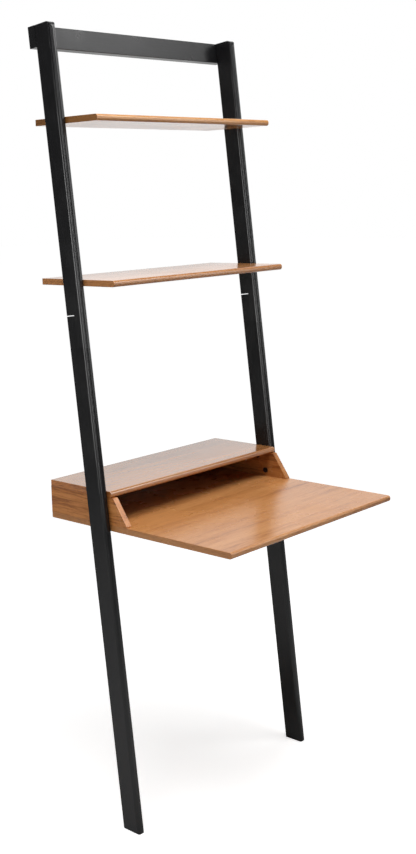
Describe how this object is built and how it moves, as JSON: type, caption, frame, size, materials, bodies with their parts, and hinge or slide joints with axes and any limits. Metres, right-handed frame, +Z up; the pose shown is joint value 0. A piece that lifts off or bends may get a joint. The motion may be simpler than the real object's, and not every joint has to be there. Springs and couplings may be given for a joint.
{
  "type": "ladder desk",
  "caption": "Leaning ladder desk with dark wooden rails, open shelves and a wood-grain desk board under a low hutch.",
  "frame": {"origin": "on the floor, midway across the width and midway between the desk's front edge and the wall side of the boards", "axes": "+Z up, +Y towards the wall that the desk leans on, +X to the right of a person who faces the desk"},
  "size_m": [0.66, 0.57, 1.8976],
  "materials": {
    "black_wood": "satin black lacquer on solid wood",
    "wood_board": "satin wood-grain laminate, warm brown, grain along the width",
    "beech": "bare beech dowel",
    "black_steel": "black oxide",
    "zinc_steel": "bright zinc plate"
  },
  "bodies": {
    "root": {"crosspiece_bolts": "black_steel", "crosspiece_inserts": "zinc_steel", "desk_board": "wood_board", "desk_board_screws": "zinc_steel", "hutch_back": "wood_board", "hutch_back_dowels": "beech", "hutch_left_side": "wood_board", "hutch_rail_bolts": "black_steel", "hutch_rail_inserts": "zinc_steel", "hutch_right_side": "wood_board", "hutch_top": "wood_board", "hutch_top_cam_pins": "zinc_steel", "hutch_top_cams": "zinc_steel", "hutch_top_dowels": "beech", "left_rail_lower": "black_wood", "left_rail_upper": "black_wood", "middle_shelf": "wood_board", "middle_shelf_cam_pins": "zinc_steel", "middle_shelf_cams": "zinc_steel", "middle_shelf_dowels": "beech", "rail_lap_bolts": "black_steel", "rail_lap_inserts": "zinc_steel", "right_rail_lower": "black_wood", "right_rail_upper": "black_wood", "top_crosspiece": "black_wood", "top_shelf": "wood_board", "top_shelf_cam_pins": "zinc_steel", "top_shelf_cams": "zinc_steel", "top_shelf_dowels": "beech"}
  },
  "joints": []
}
